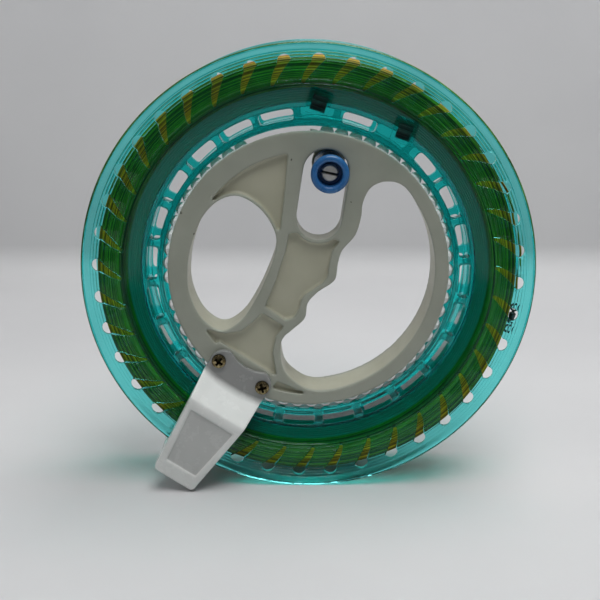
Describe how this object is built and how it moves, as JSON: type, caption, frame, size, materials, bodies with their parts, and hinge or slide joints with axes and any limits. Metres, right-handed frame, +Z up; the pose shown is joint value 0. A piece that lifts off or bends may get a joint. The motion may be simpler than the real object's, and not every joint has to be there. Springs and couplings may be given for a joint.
{
  "type": "line reel",
  "caption": "Hand line reel: a clear flanged spool of wound line on a ball race round a grip hub, with a guide arm and a folding winding knob.",
  "frame": {"origin": "on the surface the reel stands on, under the middle of the whole object", "axes": "+Z up; the spool's axis is parallel to Y, 90 mm up; the side with the guide arm faces -Y"},
  "size_m": [0.18, 0.043, 0.18],
  "materials": {
    "hub_plastic": "satin",
    "steel": "satin",
    "ball_plastic": "polished",
    "spool_plastic": "polished",
    "dark_plastic": "matte",
    "line": "braided",
    "black_metal": "satin",
    "arm_plastic": "satin",
    "nickel": "satin",
    "pin_plastic": "satin",
    "knob_plastic": "satin"
  },
  "bodies": {
    "hub": {"hub_grip": "hub_plastic", "hub_back_ring": "hub_plastic", "ring_screws": "steel", "guide_arm": "arm_plastic", "arm_screws": "nickel", "line_eyelet": "steel", "hinge_pin": "steel"},
    "spool": {"spool_front": "spool_plastic", "spool_rear": "spool_plastic", "box_plug_left": "dark_plastic", "box_plug_right": "dark_plastic", "line_winding": "line", "line_tail": "line", "tail_swivel": "black_metal"},
    "ball_set": {"bearing_balls": "ball_plastic"},
    "crank": {"crank_arm": "hub_plastic", "knob_pin": "pin_plastic"},
    "knob": {"winding_knob": "knob_plastic"}
  },
  "joints": [
    {"name": "spool_spin", "type": "hinge", "parent": "hub", "child": "spool", "pos_m": [0, 0.0025, 0.09], "axis": [0, 1, 0], "continuous": true},
    {"name": "ball_orbit", "type": "hinge", "parent": "hub", "child": "ball_set", "pos_m": [0, -0.0053, 0.09], "axis": [0, 1, 0], "continuous": true},
    {"name": "crank_fold", "type": "hinge", "parent": "hub", "child": "crank", "pos_m": [0.01034, 0.0191, 0.13994], "axis": [0.9792, 0, -0.2028], "range_deg": [0, 160]},
    {"name": "knob_spin", "type": "hinge", "parent": "crank", "child": "knob", "pos_m": [0.0083, 0.0005, 0.1301], "axis": [0, 1, 0], "continuous": true}
  ],
  "couplings": [
    {"joint": "ball_orbit", "follows": "spool_spin", "ratio": 0.5251}
  ]
}
